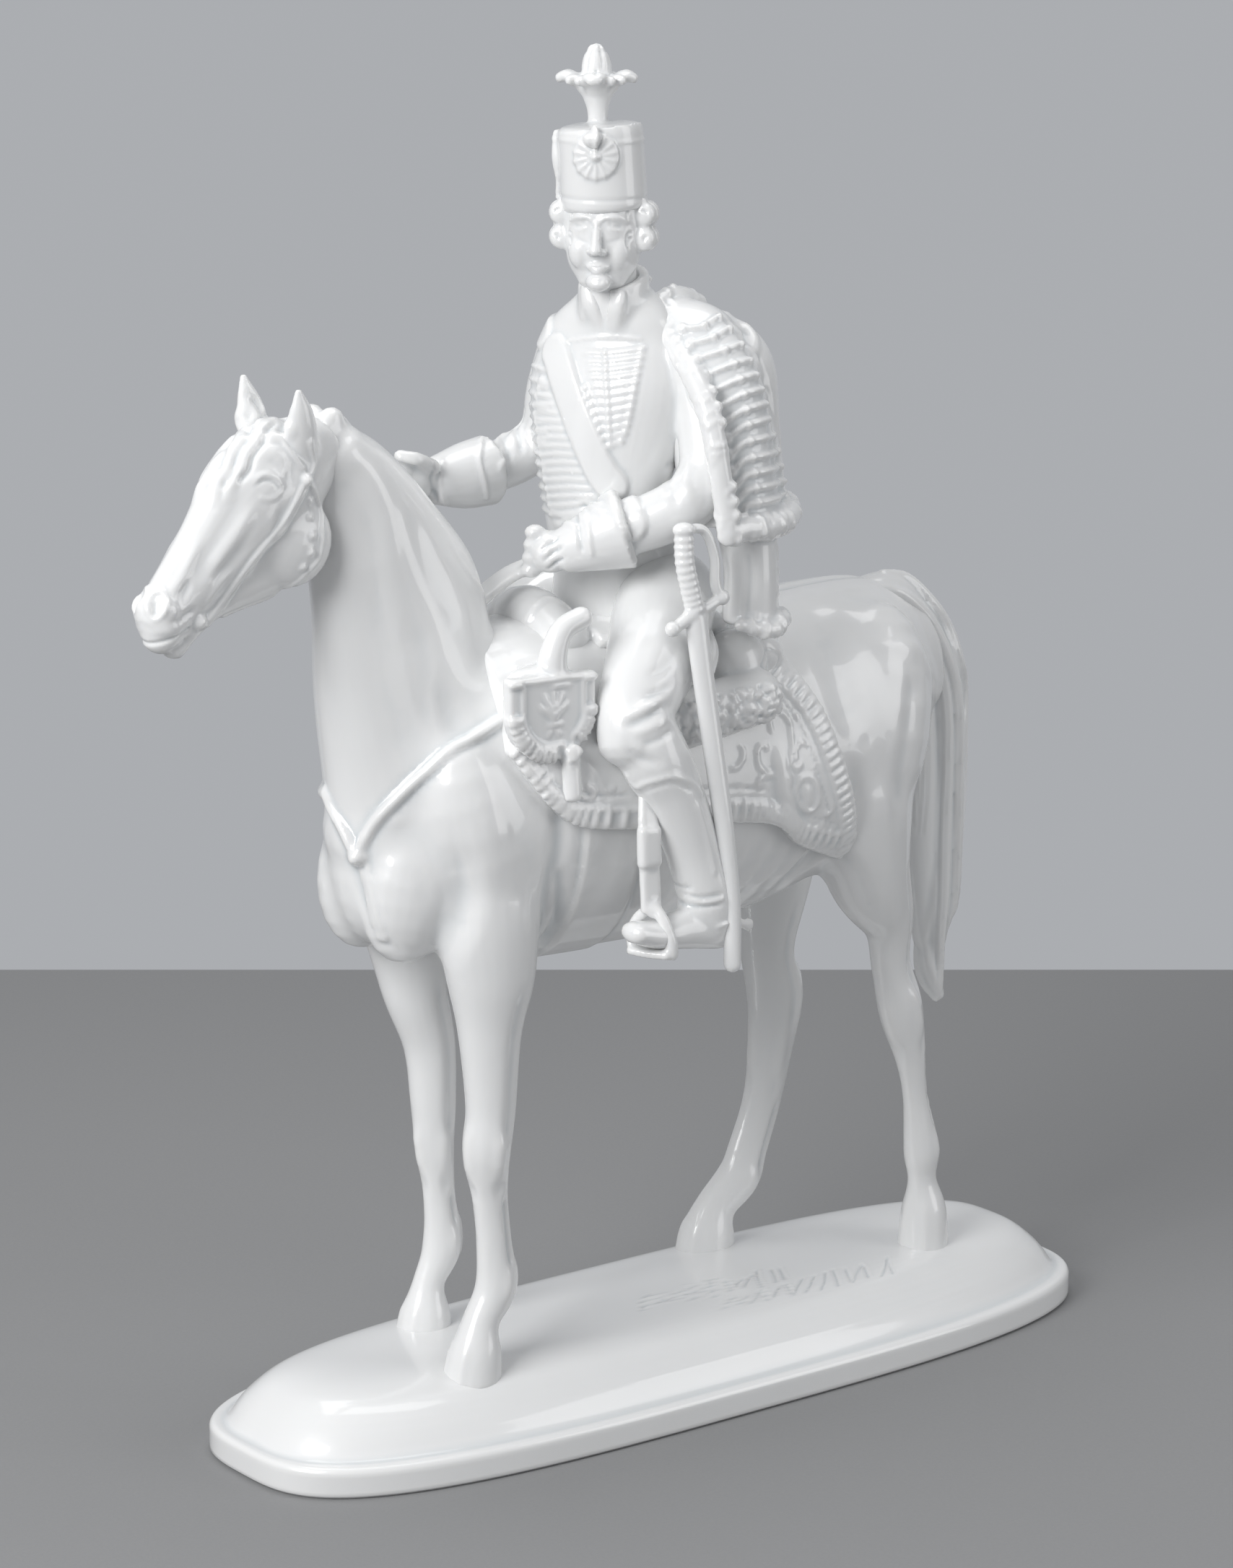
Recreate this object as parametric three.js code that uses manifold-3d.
// Porcelain statuette of a mounted hussar on a long rounded plinth.
// Millimetres, +Z up, origin in the middle of the plinth's underside.
// The horse faces -X and its near (left) side is -Y.
import * as THREE from "three";
import { mergeVertices } from "three/addons/utils/BufferGeometryUtils.js";
import Module from "manifold-3d";

const wasm = await Module();
wasm.setup();

// Driving dimensions
const PLINTH_LENGTH = 275;
const PLINTH_WIDTH = 91;
const PLINTH_RIM = 8.4;
const PLINTH_LEDGE = 6;
const PLINTH_DOME = 14.5;
const FIGURE_HEIGHT = 343;

// The figure is drawn at a height of 343 mm, with its hooves on the level z = 23.
const DRAWN_HEIGHT = 343;
const DRAWN_GROUND = 23;
const GLAZE = { color: 0xf3f4f4, roughness: 0.14, metalness: 0 };

const X_AXIS = new THREE.Vector3(1, 0, 0);
const Y_AXIS = new THREE.Vector3(0, 1, 0);
const Z_AXIS = new THREE.Vector3(0, 0, 1);
const NEAR = -1;
const FAR = 1;
const SIDES = [NEAR, FAR];

const vector = (p) => new THREE.Vector3(p[0], p[1], p[2]);

// Closed solids

// A closed mesh as a solid that can be joined and cut.
function solid(geometry) {
  const bare = geometry.clone();
  bare.deleteAttribute("normal");
  bare.deleteAttribute("uv");
  const merged = mergeVertices(bare, 1e-4);
  const mesh = new wasm.Mesh({
    numProp: 3,
    vertProperties: new Float32Array(merged.attributes.position.array),
    triVerts: new Uint32Array(merged.index.array),
  });
  return new wasm.Manifold(mesh);
}

// A mesh of the figure, as drawn, put in its place on the plinth and made a solid.
function figureSolid(geometry) {
  const scale = FIGURE_HEIGHT / DRAWN_HEIGHT;
  geometry.scale(scale, scale, scale);
  geometry.translate(0, 0, domeHeight(0) - DRAWN_GROUND * scale);
  return solid(geometry);
}

function joined(solids) {
  return solids.reduce((whole, piece) => whole.add(piece));
}

// Rings of equal length, closed at both ends by a single point, as a geometry with outward faces.
function skinned(rings, first, last) {
  const sides = rings[0].length;
  const points = [...rings.flat(), first, last];
  const index = [];
  const start = rings.length * sides;
  const end = start + 1;
  for (let side = 0; side < sides; side++) {
    const next = (side + 1) % sides;
    for (let ring = 0; ring < rings.length - 1; ring++) {
      const a = ring * sides + side;
      const b = ring * sides + next;
      index.push(a, a + sides, b, b, a + sides, b + sides);
    }
    const base = (rings.length - 1) * sides;
    index.push(start, side, next);
    index.push(end, base + next, base + side);
  }
  const geometry = new THREE.BufferGeometry().setFromPoints(points);
  geometry.setIndex(index);
  if (volume(geometry) < 0) {
    geometry.setIndex(index.reverse());
  }
  return geometry;
}

function volume(geometry) {
  const place = geometry.attributes.position;
  const corners = geometry.index;
  const [a, b, c] = [new THREE.Vector3(), new THREE.Vector3(), new THREE.Vector3()];
  let total = 0;
  for (let i = 0; i < corners.count; i += 3) {
    a.fromBufferAttribute(place, corners.getX(i));
    b.fromBufferAttribute(place, corners.getX(i + 1));
    c.fromBufferAttribute(place, corners.getX(i + 2));
    total += a.dot(b.cross(c));
  }
  return total / 6;
}

// A limb through stations [x, y, z, half width, depth in front, depth behind]. The width lies along
// "across" and the front is across x direction of travel. grow widens every section, flute draws in
// every second edge, and ripple pushes every second section out in front and behind.
function limb(stations, options = {}) {
  const { sides = 8, rings = 2 * stations.length - 1, across = Y_AXIS, caps = [0.4, 0.4] } = options;
  const { grow = 0, roundness = 2, flute = 0, ripple = [0, 0] } = options;
  const path = new THREE.CatmullRomCurve3(stations.map(vector), false, "catmullrom");
  const widened = (s) => new THREE.Vector3(s[3] + grow, s[4] + grow, (s[5] ?? s[4]) + grow);
  const sizes = new THREE.CatmullRomCurve3(stations.map(widened), false, "catmullrom");
  const section = (t, share, shift, swell = 0) => {
    const along = path.getTangent(t);
    const middle = path.getPoint(t).addScaledVector(along, shift);
    const side = across.clone().addScaledVector(along, -across.dot(along)).normalize();
    const front = side.clone().cross(along);
    const size = sizes.getPoint(t).multiplyScalar(share / Math.sqrt(Math.cos(Math.PI / sides)));
    const power = 2 / roundness;
    const ring = [];
    for (let k = 0; k < sides; k++) {
      const angle = (2 * Math.PI * (k + 0.5)) / sides;
      const [c, s] = [Math.cos(angle), Math.sin(angle)];
      const furrow = k % 2 ? 1 - flute : 1;
      const wide = Math.sign(c) * Math.abs(c) ** power * size.x * furrow;
      const depth = s > 0 ? size.y + swell * ripple[0] : size.z + swell * ripple[1];
      const deep = Math.sign(s) * Math.abs(s) ** power * depth * furrow;
      ring.push(middle.clone().addScaledVector(side, wide).addScaledVector(front, deep));
    }
    return ring;
  };
  const reach = (t, cap) => cap * Math.min(sizes.getPoint(t).x, sizes.getPoint(t).y);
  const [startReach, endReach] = [reach(0, caps[0]), reach(1, caps[1])];
  const all = [];
  if (caps[0] > 0.4) {
    all.push(section(0, 0.72, -0.7 * startReach));
  }
  for (let k = 0; k < rings; k++) {
    all.push(section(k / (rings - 1), 1, 0, k % 2 ? 1 : -1));
  }
  if (caps[1] > 0.4) {
    all.push(section(1, 0.72, 0.7 * endReach));
  }
  const first = path.getPoint(0).addScaledVector(path.getTangent(0), -startReach);
  const last = path.getPoint(1).addScaledVector(path.getTangent(1), endReach);
  return figureSolid(skinned(all, first, last));
}

// A cord or rod of even or changing radius through points.
function rod(points, radius, options = {}) {
  const radii = Array.isArray(radius) ? radius : points.map(() => radius);
  const across = options.across ?? Y_AXIS;
  const stations = points.map((p, k) => [...p, radii[k], radii[k]]);
  return limb(stations, { sides: 5, rings: points.length, ...options, across });
}

// A flat strap: half its width along "across", half its thickness in depth.
function strap(points, halfWidth, halfThickness, across, rings = points.length) {
  const stations = points.map((p) => [...p, 1.2 * halfWidth, 1.2 * halfThickness]);
  return limb(stations, { sides: 4, rings, across, caps: [0.1, 0.1] });
}

// A row of beads or tufts: a rod that swells and narrows as it goes.
function beaded(line, beads, size, options = {}) {
  const curve = new THREE.CatmullRomCurve3(line.map(vector));
  const stations = [];
  for (let k = 0; k <= 2 * beads; k++) {
    const p = curve.getPointAt(k / (2 * beads));
    const radius = k % 2 ? size : 0.68 * size;
    stations.push([p.x, p.y, p.z, radius, radius]);
  }
  return limb(stations, { sides: 5, rings: stations.length, ...options });
}

// A ball stretched to three radii, turned by Euler angles in degrees.
function ball(middle, radii, turn = [0, 0, 0], detail = 8) {
  const geometry = new THREE.SphereGeometry(1, detail, Math.round(detail * 0.6));
  geometry.scale(...radii);
  const [rx, ry, rz] = turn.map(THREE.MathUtils.degToRad);
  geometry.applyMatrix4(new THREE.Matrix4().makeRotationFromEuler(new THREE.Euler(rx, ry, rz)));
  geometry.translate(...middle);
  return figureSolid(geometry);
}

// A plate with its outline drawn in x and z, from y = low to y = high.
function plate(outline, low, high) {
  const shape = new THREE.Shape(outline.map(([x, z]) => new THREE.Vector2(x, z)));
  const geometry = new THREE.ExtrudeGeometry(shape, { depth: high - low, bevelEnabled: false });
  geometry.rotateX(Math.PI / 2);
  geometry.translate(0, high, 0);
  return figureSolid(geometry);
}

// An open line of points with small lobes along it, as a fringe or a scalloped braid has.
function scalloped(line, lobes, depth) {
  const places = line.map(([x, z]) => new THREE.Vector3(x, 0, z));
  const curve = new THREE.CatmullRomCurve3(places, false, "catmullrom", 0.2);
  const out = [];
  for (let k = 0; k < lobes; k++) {
    for (const [share, push] of [[0, 0], [0.5, 1]]) {
      const t = (k + share) / lobes;
      const along = curve.getTangentAt(t);
      const p = curve.getPointAt(t);
      out.push([p.x + along.z * depth * push, p.z - along.x * depth * push]);
    }
  }
  const end = curve.getPointAt(1);
  out.push([end.x, end.z]);
  return out;
}

// Plinth

// A ring of the plinth's plan, drawn in by "inset", at height z.
function planRing(inset, z, sides, squareness) {
  const halfLength = PLINTH_LENGTH / 2 - inset;
  const halfWidth = PLINTH_WIDTH / 2 - inset;
  const ring = [];
  for (let k = 0; k < sides; k++) {
    const angle = (2 * Math.PI * k) / sides;
    const [c, s] = [Math.cos(angle), Math.sin(angle)];
    const x = halfLength * Math.sign(c) * Math.abs(c) ** (2 / squareness);
    const y = halfWidth * Math.sign(s) * Math.abs(s) ** (2 / squareness);
    ring.push(new THREE.Vector3(x, y, z));
  }
  return ring;
}

function plinth() {
  const sides = 28;
  const rimSquareness = 3.23;
  const domeSquareness = 3;
  const edge = 1.1;
  const rings = [
    planRing(0, 0, sides, rimSquareness),
    planRing(0, PLINTH_RIM - edge, sides, rimSquareness),
    planRing(edge, PLINTH_RIM, sides, rimSquareness),
    planRing(PLINTH_LEDGE, PLINTH_RIM + 0.3, sides, domeSquareness),
  ];
  // the dome swells steeply at its foot and is nearly level over the middle
  for (const share of [0.94, 0.76]) {
    const inset = PLINTH_LEDGE + ((PLINTH_WIDTH / 2 - PLINTH_LEDGE) * (1 - share));
    rings.push(planRing(inset, domeHeight(share), sides, domeSquareness));
  }
  const below = new THREE.Vector3(0, 0, 0);
  const above = new THREE.Vector3(0, 0, domeHeight(0));
  return solid(skinned(rings, below, above));
}

// Height of the dome at a share of the way from its middle to its foot.
function domeHeight(share) {
  return PLINTH_RIM + PLINTH_DOME * Math.sqrt(1 - share ** 5);
}

// Horse

// Barrel: [x, top, bottom, half width]
const BARREL = [
  [-97, 184, 149, 17],
  [-88, 197, 138, 25],
  [-74, 210, 130, 30],
  [-54, 216, 127.5, 32],
  [-28, 214, 126.5, 33.5],
  [0, 212, 126.5, 35],
  [24, 214.5, 130, 35.5],
  [44, 217, 138, 34],
  [60, 218, 149, 30.5],
  [74, 217.5, 160, 23],
  [86, 213, 172, 13],
];

function barrelStation([x, top, bottom, width]) {
  return [x, 0, (top + bottom) / 2, width, (top - bottom) / 2];
}

const barrelStations = BARREL.map(barrelStation);

function trunk() {
  const pieces = [limb(barrelStations, { sides: 10, rings: 9, caps: [0.55, 0.5] })];
  pieces.push(ball([40, -1, 138.5], [13, 6.4, 6.4], [0, -14, 0], 5));
  for (const side of SIDES) {
    // breast, shoulder, and quarter
    pieces.push(ball([-87, side * 10.5, 155], [13, 12.5, 18], [0, 18, 0], 6));
    pieces.push(ball([-73, side * 21, 163], [18.5, 13, 36], [0, -14, 0], 6));
    pieces.push(ball([56, side * 17, 176], [20, 16.5, 38], [0, 14, 0], 7));
  }
  return joined(pieces);
}

function neck() {
  const stations = [
    [-70, 0, 184, 24, 20, 38],
    [-80, 0, 207, 17.5, 24, 30],
    [-86.5, 0, 228, 13.5, 25, 24],
    [-93, 0, 245, 11.5, 19, 19],
    [-100, 0, 259, 10, 14, 13],
    [-106, -0.5, 268, 8.5, 9.5, 9],
  ];
  const tuft = ([x, y, z]) => ball([x, y, z], [3.8, 3.2, 4.8], [0, 30, 0], 5);
  const tufts = [[-109.5, 3, 275.5], [-107, -2.5, 274.5]].map(tuft);
  return joined([limb(stations, { sides: 8, rings: 6, caps: [0.1, 0.4] }), ...tufts]);
}

// The head is turned a little to the near side about the poll.
const HEAD_TURN = THREE.MathUtils.degToRad(9);
const POLL = [-109, 0, 270];

function aboutPoll([x, y, z, ...sizes]) {
  const [dx, dy] = [x - POLL[0], y - POLL[1]];
  const [c, s] = [Math.cos(HEAD_TURN), Math.sin(HEAD_TURN)];
  return [POLL[0] + c * dx - s * dy, POLL[1] + s * dx + c * dy, z, ...sizes];
}

function horseHead() {
  const across = new THREE.Vector3(-Math.sin(HEAD_TURN), Math.cos(HEAD_TURN), 0);
  const skull = [
    [-110, 0, 270, 8.8, 9, 10],
    [-122, 0, 264, 10.8, 15.5, 15],
    [-133, 0, 255, 10.2, 16.5, 14],
    [-145, 0, 245.5, 7.8, 11.5, 11.5],
    [-156, 0, 237.5, 6.3, 8.4, 8.6],
    [-163, 0, 231.6, 6.6, 8, 8],
  ].map(aboutPoll);
  const pieces = [limb(skull, { sides: 9, rings: 6, across, caps: [0.3, 0.6] })];
  pieces.push(ball(aboutPoll([-158.5, 0, 224.5]), [4.8, 4.2, 3.8], [0, 20, 0], 4));
  for (const side of SIDES) {
    pieces.push(ball(aboutPoll([-122, side * 6.6, 249.5]), [9.6, 5, 11.6], [0, 20, 0], 5));
    pieces.push(ball(aboutPoll([-133, side * 9.3, 262.5]), [4.2, 2.8, 3], [0, 30, 0], 4));
    pieces.push(ball(aboutPoll([-164.5, side * 5, 236]), [4, 3, 3.8], [0, 0, 0], 4));
    // the ears are pricked forward and a little apart
    const ear = [
      [-121, side * 8, 273, 3.6, 2.2],
      [-122.5, side * 9, 280, 3.9, 2.2],
      [-124.5, side * 10, 288, 1, 0.8],
    ];
    pieces.push(limb(ear.map(aboutPoll), { sides: 5, rings: 3, across: X_AXIS, caps: [0.1, 0.4] }));
    // cheek strap with its boss, and the boss of the bit
    const cheek = [[-117, side * 11.6, 270], [-136, side * 12, 250], [-153, side * 8.4, 230.5]];
    pieces.push(strap(cheek.map(aboutPoll), 1.2, 1.4, X_AXIS));
    pieces.push(ball(aboutPoll([-122, side * 13, 264.5]), [3, 2.8, 3], [0, 0, 0], 4));
    pieces.push(ball(aboutPoll([-154, side * 7.8, 230]), [3.2, 2.6, 3.2], [0, 0, 0], 4));
  }
  // forelock down the forehead, drawn to a point
  const forelock = [
    [-121, 0, 277.5, 9, 4],
    [-135, 0, 275, 9, 3.4],
    [-141, 0.5, 266, 7, 2.6],
    [-147, 1.5, 255, 1.5, 1.4],
  ];
  pieces.push(limb(forelock.map(aboutPoll), { sides: 6, rings: 4, across, flute: 0.2, caps: [0.1, 0.1] }));
  return joined(pieces);
}

const HOOF_DEPTH = 18.5;

function foreLeg(y, stations) {
  const line = stations.map(([x, z, ...sizes]) => [x, y, z, ...sizes]);
  return limb(line, { sides: 7, rings: 11, caps: [0.1, 0] });
}

function horseLegs() {
  const nearFore = foreLeg(-21, [
    [-72, 150, 12, 15],
    [-71.3, 130, 10.5, 12.5],
    [-71.7, 114, 7.7, 8.8],
    [-71.6, 94, 6.3, 6.9],
    [-73, 82, 6.3, 6.5],
    [-72, 69, 4.2, 5],
    [-70.8, 56, 4.1, 5],
    [-70.3, 44, 4.9, 5.9],
    [-75.2, 35.5, 4.8, 5],
    [-77, 27, 6.7, 7.2],
    [-78.2, HOOF_DEPTH, 7.6, 8.2],
  ]);
  const farFore = foreLeg(15, [
    [-72, 145, 12, 15],
    [-71, 120, 8.6, 9.4],
    [-66, 102, 6.7, 7.3],
    [-64.8, 84, 5.8, 6.3],
    [-64.5, 73, 5, 5.5],
    [-63.1, 58, 3.8, 4.6],
    [-62.4, 44, 4.7, 5.7],
    [-66.8, 34.5, 4.1, 4.5],
    [-68, 26, 6.4, 7],
    [-68.6, HOOF_DEPTH, 7.2, 8],
  ]);
  const hind = { sides: 7, rings: 11, caps: [0.1, 0] };
  const farHind = limb([
    [56, 19, 155, 13, 20],
    [56, 21, 126, 9.5, 13],
    [55, 21, 106, 6.6, 8.4],
    [58, 21, 92, 5.8, 9.2],
    [56.6, 21, 78, 5, 7.4],
    [53.4, 21, 62, 4.2, 6.3],
    [48.2, 21, 48, 4.4, 6.4],
    [45, 21, 40.5, 5.2, 6.8],
    [37, 21, 33.5, 5, 6.2],
    [34, 21, 26.5, 6.6, 8.4],
    [33, 21, HOOF_DEPTH, 7.4, 9.4],
  ], hind);
  // the near hind foot is set down turned outward
  const outward = new THREE.Vector3(-0.42, 0.907, 0);
  const nearHind = limb([
    [54, -19, 160, 14, 21],
    [59, -18, 138, 11, 15.5],
    [68.6, -15.5, 121, 6.6, 9.8],
    [71, -14.2, 107, 5, 7.4],
    [75, -14, 93, 5.6, 8.2],
    [79, -14, 78, 4, 5.4],
    [81, -14, 66, 3.4, 4.6],
    [83.4, -14, 50, 4.8, 6.2],
    [83.8, -14, 41.5, 3.9, 4.9],
    [84.6, -14, 32, 6.4, 7],
    [84.4, -14, HOOF_DEPTH, 7.4, 8],
  ], { ...hind, across: outward });
  return joined([nearFore, farFore, farHind, nearHind]);
}

// The tail is carried a little off the quarters and falls in long strands that end at different heights.
function tail() {
  const fall = limb([
    [80, 0, 207, 7, 6],
    [94, -0.5, 200, 7.5, 7.5],
    [100.5, -1, 182, 8, 9.5],
    [100.5, -1.5, 150, 8, 10],
    [100.5, -2, 118, 6.5, 8.5],
    [100.5, -3, 100, 4.5, 5],
    [101.5, -3.5, 88, 1.5, 1.8],
  ], { sides: 12, rings: 7, flute: 0.16, caps: [0.1, 0.4] });
  const short = limb([
    [97, 3, 150, 4.5, 4.5],
    [96.5, 3, 118, 3.4, 3.6],
    [97.5, 2.5, 97, 0.8, 0.9],
  ], { sides: 5, rings: 3 });
  return fall.add(short);
}

// Saddlery

// Breast strap, its boss, and the strap that runs down between the forelegs.
function breastplate() {
  const boss = [-99, -3, 163];
  const near = [boss, [-94, -15, 175], [-86, -24, 187], [-70, -28.5, 200.5]];
  const far = [boss, [-97, 13, 177], [-86, 25, 189], [-70, 28.5, 200.5]];
  const down = [boss, [-100, -2, 151], [-95, -1, 139.5], [-84, 0, 131]];
  return joined([
    rod(near, 2.4, { sides: 4, across: Z_AXIS, rings: 5, caps: [0.1, 0.1] }),
    rod(far, 2.4, { sides: 4, across: Z_AXIS, rings: 5, caps: [0.1, 0.1] }),
    rod(down, 2, { sides: 4, caps: [0.1, 0.1] }),
    ball([-101, -3.4, 163], [4.2, 4.2, 4.2], [0, 0, 0], 5),
  ]);
}

// The saddlecloth hugs the barrel: a thickened copy of the barrel, cut to the cloth's outline. The
// field inside its braid lies a little lower.
function saddlecloth() {
  const shape = { sides: 10, rings: 7, caps: [0.3, 0.3], roundness: 2.2 };
  const shell = (grow) => limb(barrelStations, { ...shape, grow });
  const lower = [[-71, 190], [-60, 175], [-46, 167.5], [-5, 163.5], [14, 160], [22, 153], [46, 143]];
  const hem = scalloped(lower, 8, 2.4);
  const rear = scalloped([[46, 143], [38, 160], [33, 178], [27, 196], [19, 210]], 4, 2.4);
  const border = [...hem, ...rear.slice(1), [14, 232], [-66, 232]];
  const field = [
    [-66, 192], [-44, 173], [15, 165.5], [40, 150.5],
    [28.5, 180], [10, 215], [10, 232], [-62, 232],
  ];
  const cloth = shell(2.4).intersect(plate(border, -60, 60));
  const braid = shell(3.9).intersect(plate(border, -60, 60).subtract(plate(field, -61, 61)));
  return cloth.add(braid);
}

// A holster on each side: a rounded cover with a ruffled edge, a pistol's grip and its muzzle.
function holsters() {
  const pieces = [];
  for (const side of SIDES) {
    const arc = [];
    for (let k = 0; k <= 6; k++) {
      const angle = Math.PI * (1 + k / 6);
      arc.push([-59.5 + 13 * Math.cos(angle), 199.5 + 12.5 * Math.sin(angle)]);
    }
    const ruffle = scalloped([[-72.5, 211], ...arc, [-46.5, 211]], 6, 2.2);
    const cover = [
      [-68.5, 208.5], [-68.5, 199], [-65, 192], [-59.5, 189.5],
      [-54, 192], [-50.5, 199], [-50.5, 208.5],
    ];
    const low = Math.min(side * 24, side * 34);
    const high = Math.max(side * 24, side * 34);
    pieces.push(plate(ruffle, low, high));
    pieces.push(plate(cover, low + 1.2 * side, high + 1.2 * side));
    // a plain spray of leaves takes the middle of the cover
    for (const turn of [-26, 26]) {
      pieces.push(ball([-59.5 + 0.09 * turn, side * 35, 200], [2, 1.2, 4.8], [0, turn, 0], 4));
    }
    const grip = [
      [-58.5, side * 29, 206],
      [-58, side * 29.5, 214],
      [-54.5, side * 29.5, 220.5],
      [-49, side * 29.5, 222.5],
    ];
    pieces.push(rod(grip, [4.2, 3.6, 3, 2.8], { sides: 6, rings: 4 }));
    const muzzle = [[-54.5, side * 33, 190], [-55, side * 34.5, 177]];
    pieces.push(rod(muzzle, 2.9, { sides: 6, across: X_AXIS, caps: [0.1, 0.1] }));
  }
  return joined(pieces);
}

function saddle() {
  const cloak = [[-42, -13, 213, 8, 7], [-43, 0, 218, 8, 8], [-42, 13, 213, 8, 7]];
  const valise = [[13, -25, 203, 8.5, 8], [13, 0, 212, 10, 8], [13, 25, 203, 8.5, 8]];
  const pieces = [
    limb(cloak, { sides: 6, rings: 3, across: X_AXIS }),
    limb(valise, { sides: 6, rings: 3, across: X_AXIS, caps: [0.5, 0.5] }),
  ];
  for (const side of SIDES) {
    // fleece showing behind the thigh
    const fleece = [[-24, side * 34.5, 192, 7, 6], [8, side * 34.5, 196, 7, 6]];
    pieces.push(limb(fleece, { sides: 5, rings: 2, across: Z_AXIS }));
    // girth
    const girth = [[-39, side * 35, 168], [-40, side * 32, 145], [-40, side * 8, 125.6]];
    pieces.push(strap(girth, 9, 1.9, X_AXIS));
    // stirrup leather
    const leather = [[-28, side * 36.5, 186], [-32.5, side * 38.5, 168], [-34.5, side * 42.5, 144]];
    pieces.push(strap(leather, 2.9, 1.3, X_AXIS));
    // stirrup iron: two branches that spread around the foot, and the tread
    for (const branch of [-1, 1]) {
      const iron = [
        [-34.5, side * 43.4, 147],
        [-34.5, side * (44 + 5.8 * branch), 138],
        [-32.5, side * (44 + 4.6 * branch), 133],
      ];
      pieces.push(rod(iron, 1.5, { sides: 4, caps: [0.1, 0.1] }));
    }
    pieces.push(strap([[-32.4, side * 39, 133.2], [-32.4, side * 49, 133.2]], 3.6, 1.2, X_AXIS));
  }
  return joined(pieces);
}

// Rider

const CHEST_TURN = THREE.MathUtils.degToRad(23);
const FACE_TURN = THREE.MathUtils.degToRad(42);

// Directions of a rider who looks along -X, after a turn to the left.
function facing(turn) {
  const front = new THREE.Vector3(-Math.cos(turn), -Math.sin(turn), 0);
  const left = new THREE.Vector3(Math.sin(turn), -Math.cos(turn), 0);
  return { front, left };
}

// A place given as [forward, to the left, up] from a middle, for a rider turned by "turn".
function placed(middle, turn, [forward, leftward, up]) {
  const { front, left } = facing(turn);
  const p = vector(middle).addScaledVector(front, forward).addScaledVector(left, leftward);
  return [p.x, p.y, p.z + up];
}

// The chest's rows of cord are ripples of its front.
function torso() {
  const { left } = facing(CHEST_TURN);
  const pieces = [limb([
    [-12, 0, 219, 20.5, 17.5, 19],
    [-14.5, -0.5, 229, 18.2, 14.6, 16],
    [-19, -1, 243, 17, 12.5, 12.5],
    [-18.5, -1, 260, 20.5, 14, 13],
    [-16.5, -1, 276, 23.5, 14.5, 13],
    [-15.5, -1.5, 288, 19.5, 11, 11],
    [-16, -2.5, 295, 9.5, 8.5, 9],
  ], { sides: 10, rings: 14, across: left, ripple: [1.3, 0], caps: [0.1, 0.1] })];
  // collar with a point on each side of its opening
  pieces.push(limb([[-17, -3, 291, 9, 9], [-18.4, -4, 298, 8, 8], [-19, -4.5, 302, 8.6, 8.8]],
    { sides: 7, rings: 3, across: left, caps: [0.1, 0.1] }));
  for (const side of [-1, 1]) {
    const tip = placed([-18.4, -4, 299.4], CHEST_TURN, [7.6, 2.4 + 3.6 * side, 0]);
    pieces.push(ball(tip, [2.6, 2.6, 5.4], [0, 0, 0], 4));
  }
  // the shoulder belt runs from the right shoulder to the left hip
  const belt = [[4, -17, 45], [15, -9, 30], [15.4, 2, 16], [12.6, 11.5, 3], [6, 17, -5]];
  const worn = belt.map((p) => placed([-18.6, -1, 243], CHEST_TURN, p));
  pieces.push(strap(worn, 3.8, 2.2, new THREE.Vector3(0.35, -0.4, 0.85)));
  return joined(pieces);
}

function rightArm() {
  return joined([
    limb([
      [-16, 20, 285, 7, 7.5],
      [-14, 28, 272, 7.4, 7.6],
      [-13.5, 33, 259, 7.4, 7.2],
      [-21, 35.5, 253, 7.2, 7],
      [-33, 36, 250, 6.8, 6.8],
    ], { sides: 7, rings: 5, across: new THREE.Vector3(0, 1, 0.5), caps: [0.4, 0.1] }),
    // gauntlet, then the fist with its row of knuckles and the thumb
    limb([[-30.5, 36, 250.3, 9.3, 9.6], [-39, 36, 249.5, 8.6, 8.8], [-47.5, 36, 249.2, 6.8, 7]],
      { sides: 7, rings: 3, caps: [0.1, 0.1] }),
    ball([-55, 35, 251], [7.5, 5, 6], [0, 12, 0], 6),
    beaded([[-60, 33.5, 257.5], [-60.5, 35, 244.5]], 3, 3.1, { sides: 4 }),
    rod([[-52, 31, 254], [-58, 29.5, 257], [-62, 31.5, 258]], 2, { sides: 4, across: Z_AXIS }),
  ]);
}

function leftArm() {
  return joined([
    limb([
      [-7, -20, 286, 7.5, 7.5],
      [-7, -27, 272, 8, 8],
      [-9, -32, 257, 8, 7.8],
      [-16, -30, 248.5, 7.6, 7.8],
      [-26, -23, 243, 7, 7.2],
    ], { sides: 7, rings: 5, across: new THREE.Vector3(0.5, 0.5, 0.8), caps: [0.4, 0.1] }),
    limb([[-28.5, -21, 241.8, 10, 10.3], [-36, -15, 239.6, 7.8, 8.2], [-41, -10, 238, 6, 6]],
      { sides: 7, rings: 3, across: Z_AXIS, caps: [0.1, 0.1] }),
    ball([-43, -7.5, 236.5], [6, 5.6, 5.6], [0, 0, 45], 6),
    beaded([[-46, -6.5, 243], [-46.6, -5.5, 229.5]], 3, 3.1, { sides: 4 }),
    // the reins go from the hand down over the crest of the neck
    strap([[-43, -4, 233], [-50, 0, 229.5], [-60, 2, 223]], 4, 1.4, Y_AXIS),
  ]);
}

const HEAD_MIDDLE = [-22.4, -5.4, 318];

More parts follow.
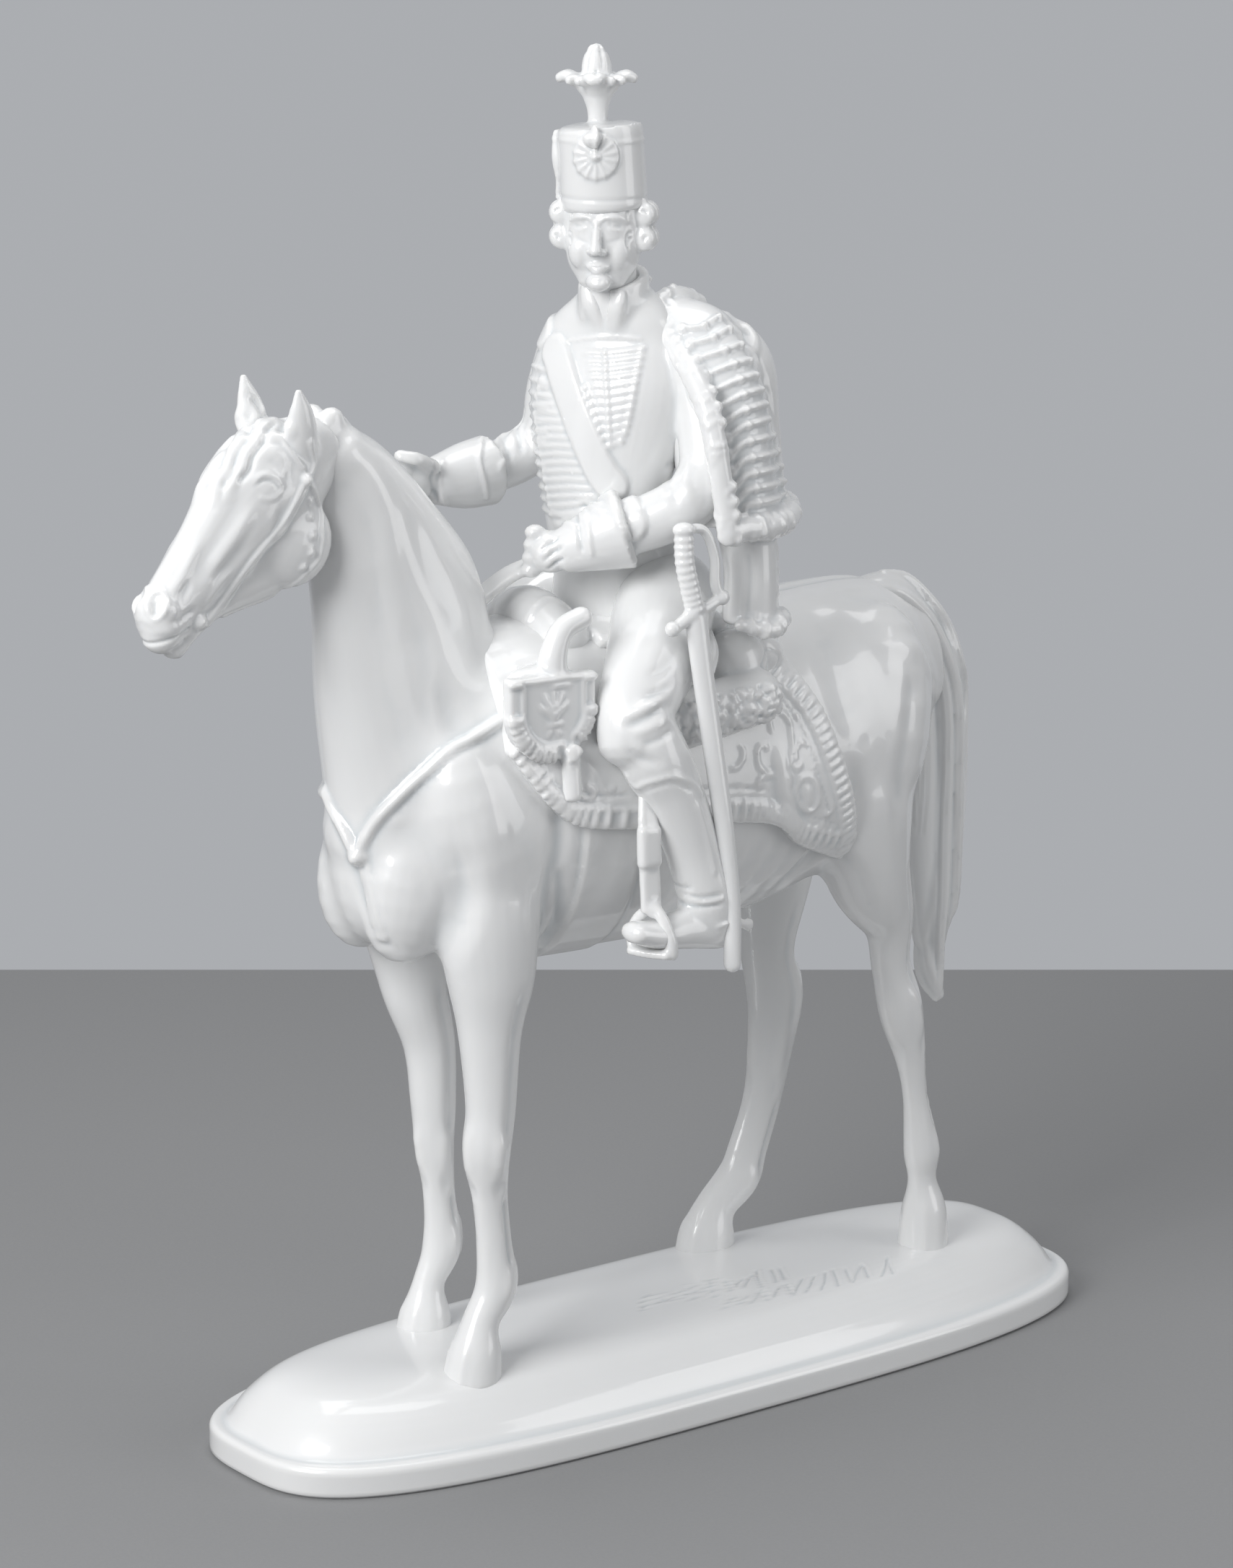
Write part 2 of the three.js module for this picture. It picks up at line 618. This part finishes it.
function riderHead() {
  const { left } = facing(FACE_TURN);
  const at = (p) => placed(HEAD_MIDDLE, FACE_TURN, p);
  const pieces = [];
  // skull and jaw, in general proportions
  pieces.push(limb([
    [...at([3.6, 0, -13.6]), 4, 4, 3.6],
    [...at([2.6, 0, -9]), 7.6, 7.8, 6.4],
    [...at([1.4, 0, -2]), 9.4, 9.8, 9.4],
    [...at([0, 0, 9]), 9.8, 10.2, 10.6],
  ], { sides: 9, rings: 5, across: left, caps: [0.3, 0.1] }));
  const throat = [[-18.5, -4, 296], [-20.5, -4.5, 308]];
  pieces.push(rod(throat, 6.8, { sides: 6, across: left, caps: [0.1, 0.1] }));
  const nose = [[...at([10, 0, 2.4]), 1.1, 1, 1], [...at([11.4, 0, -3]), 1.7, 1.6, 1.4]];
  pieces.push(limb(nose, { sides: 4, rings: 2, across: left, caps: [0.1, 0.3] }));
  for (const side of [-1, 1]) {
    // two rolled curls over each ear
    const curls = [at([0.4, 10.8 * side, 8]), at([0.4, 10.6 * side, -5])];
    pieces.push(beaded(curls, 2, 4, { sides: 4, across: left }));
  }
  // queue with its bow behind the collar
  const queue = [at([-9, 0, 4]), at([-11, 1, -8]), at([-11.5, 1, -16])];
  pieces.push(rod(queue, [3.4, 2.8, 2.2], { across: left, caps: [0.1, 0.1] }));
  pieces.push(ball(at([-12, 1, -15]), [2.6, 8, 3.6], [0, 0, -42], 4));
  pieces.push(shako(left, at));
  return joined(pieces);
}

// A tall cap, a little wider at its foot, that leans back, with a pleated rosette and a plume.
function shako(left, at) {
  const pieces = [];
  pieces.push(limb([
    [...at([0, 0, 6.4]), 10.9, 11.2],
    [...at([0, -0.3, 8]), 11.3, 11.6],
    [...at([0.2, -1.6, 26]), 11, 11],
    [...at([0.2, -1.8, 27.4]), 10.5, 10.5],
  ], { sides: 11, rings: 4, across: left, caps: [0.1, 0.1] }));
  // rosette around a button
  pieces.push(limb([[...at([10, 0, 18.5]), 6, 6], [...at([11.4, 0, 18.5]), 5.6, 5.6]],
    { sides: 8, rings: 2, across: Z_AXIS, caps: [0.1, 0.1] }));
  pieces.push(ball(at([11.8, 0, 18.5]), [1.8, 1.8, 1.8], [0, 0, 0], 4));
  // plume: a stem that opens into four curled petals around a bud
  const root = at([0.4, -1.6, 26.6]);
  const above = (up) => [root[0] - 0.03 * up, root[1], root[2] + up];
  const stem = [above(0), above(4.5), above(9.5)];
  const bud = [above(8), above(14.5), above(21)];
  pieces.push(rod(stem, [3.2, 2.5, 4], { caps: [0.1, 0.1] }));
  pieces.push(rod(bud, [2.4, 3.8, 1.8], { sides: 6, caps: [0.1, 0.4] }));
  for (let k = 0; k < 4; k++) {
    const angle = FACE_TURN + (Math.PI / 2) * k + 0.12;
    const out = (r, up) => {
      const p = above(up);
      return [p[0] - r * Math.cos(angle), p[1] - r * Math.sin(angle), p[2]];
    };
    const widthwise = new THREE.Vector3(-Math.sin(angle), Math.cos(angle), 0);
    const petal = [[...out(1.2, 9.2), 2.2, 1.6], [...out(6.5, 13), 3.4, 1.4], [...out(9.8, 11.4), 1.4, 0.9]];
    pieces.push(limb(petal, { sides: 4, rings: 3, across: widthwise, caps: [0.1, 0.4] }));
  }
  return joined(pieces);
}

function riderLegs() {
  const pieces = [];
  for (const side of SIDES) {
    const thigh = [
      [-3, side * 10, 221, 12, 13],
      [-14, side * 20, 218, 12.5, 14],
      [-26, side * 30, 208.5, 11, 12.6],
      [-36, side * 36.5, 198, 9.2, 10.4],
      [-38.5, side * 39, 190, 8.4, 9.6],
    ];
    const shin = [
      [-37.5, side * 38.5, 199, 8.2, 8.4, 8],
      [-33.5, side * 40.5, 186, 8.8, 8.8, 10],
      [-28.6, side * 41.6, 176, 7.4, 7.6, 8.8],
      [-22, side * 42.2, 160, 6.4, 7, 7.4],
      [-18.5, side * 43, 147, 6.3, 7.6, 7.6],
      [-17, side * 43, 138, 5.6, 7.4, 7.4],
    ];
    const foot = [
      [-13.5, side * 43, 137, 5, 5, 5],
      [-24, side * 43.6, 138.5, 5.2, 6.4, 4.6],
      [-35, side * 44.6, 139.5, 5.4, 4.2, 3.6],
      [-43, side * 45.4, 141.6, 4.4, 3, 2.8],
    ];
    const across = new THREE.Vector3(0.3, 0.9, 0);
    pieces.push(limb(thigh, { sides: 6, rings: 4, caps: [0.1, 0.4], across }));
    pieces.push(limb(shin, { sides: 6, rings: 5, caps: [0.3, 0.1] }));
    pieces.push(limb(foot, { sides: 6, rings: 4 }));
    // spur
    pieces.push(ball([-8.6, side * 43, 137.4], [4.4, 1.8, 2.2], [0, 0, 0], 4));
  }
  return joined(pieces);
}

// The fur-edged jacket slung over the left shoulder, with its empty sleeve. Its rows of cord are ripples
// of its outer side.
function pelisse() {
  const pieces = [limb([
    [-8, -10, 296, 8, 5, 6],
    [-1, -18, 289, 10.5, 9, 8.5],
    [4, -23, 278, 13, 12, 10.5],
    [5, -26, 263, 13.5, 13.5, 12],
    [4.5, -28, 250, 13.5, 13, 12],
    [5, -28.5, 243.5, 14, 12.5, 12],
  ], { sides: 8, rings: 15, across: X_AXIS, ripple: [0, 1.4], caps: [0.4, 0.1] })];
  // fur along the front edge, round the hem and the collar, as overlapping tufts
  const front = [
    [-17, -10, 298], [-22, -19, 290], [-20, -28, 281],
    [-15.5, -35, 268], [-12.5, -39, 256], [-10.5, -40, 243],
  ];
  const hem = [[-10, -40, 242.5], [0, -42, 241.5], [10, -40, 244], [16.5, -34, 246]];
  const collar = [[-17, -10, 298], [-9, -10, 301], [-2, -7, 301]];
  for (const [line, tufts, size] of [[front, 6, 3.6], [hem, 4, 4], [collar, 2, 3.6]]) {
    pieces.push(beaded(line, tufts, size, { sides: 4 }));
  }
  // empty sleeve with fur at its cuff
  pieces.push(limb([
    [3.6, -31, 246, 8, 7.6],
    [4.8, -33, 232, 7.4, 6.8],
    [5.8, -33, 216, 7, 6.6],
  ], { sides: 7, rings: 3, across: X_AXIS, caps: [0.1, 0.2] }));
  const cuff = [[0, -38.5, 216], [6, -40, 215.5], [12.8, -36, 216.4], [13.4, -28.4, 217]];
  pieces.push(beaded(cuff, 3, 3.4, { sides: 4 }));
  return joined(pieces);
}

// Sabre: ribbed grip with a knuckle bow, a cross-guard, and a long curved scabbard down to the heel.
function sabre() {
  const grip = [[-23.4, -40.5, 243], [-23.4, -41, 236], [-22, -41.5, 229], [-20.6, -42, 223]];
  const bow = [
    [-22.5, -40.5, 244], [-17, -40.5, 243.5], [-13.8, -41, 237],
    [-13.6, -41.5, 229], [-11.4, -42, 225.5],
  ];
  const cross = [[-28, -42, 219.4], [-22, -42, 222], [-12, -42, 225.8]];
  const scabbard = [
    [-20, -42, 222], [-18.4, -44, 205], [-17, -46, 185],
    [-15, -47.4, 165], [-13, -48, 145], [-12.4, -48, 129],
  ];
  const pieces = [
    beaded(grip, 4, 3.1, { sides: 4 }),
    rod(bow, 1.3, { sides: 4, caps: [0.1, 0.1] }),
    rod(cross, [1.5, 2, 1.5], { sides: 4, across: Z_AXIS }),
    limb(scabbard.map((p, k) => [...p, 1.9, 3.1 - 0.18 * k]), { sides: 5, rings: 5 }),
    // the sling that holds the scabbard against the saddle
    rod([[-18, -44, 206], [-10, -36, 210], [-6, -28, 214]], 1.6, { sides: 4, across: Z_AXIS }),
  ];
  return joined(pieces);
}

// Assembly

const statuette = joined([
  plinth(), trunk(), neck(), horseHead(), horseLegs(), tail(),
  breastplate(), saddlecloth(), holsters(), saddle(),
  torso(), rightArm(), leftArm(), riderHead(), riderLegs(), pelisse(), sabre(),
]);

function shown(piece, name, look) {
  const { vertProperties, triVerts } = piece.getMesh();
  const geometry = new THREE.BufferGeometry();
  geometry.setAttribute("position", new THREE.BufferAttribute(new Float32Array(vertProperties), 3));
  geometry.setIndex(new THREE.BufferAttribute(new Uint32Array(triVerts), 1));
  geometry.computeVertexNormals();
  const mesh = new THREE.Mesh(geometry, new THREE.MeshStandardMaterial(look));
  mesh.name = name;
  return mesh;
}

const root = new THREE.Group();
root.add(shown(statuette, "hussar_statuette", GLAZE));

export default root;
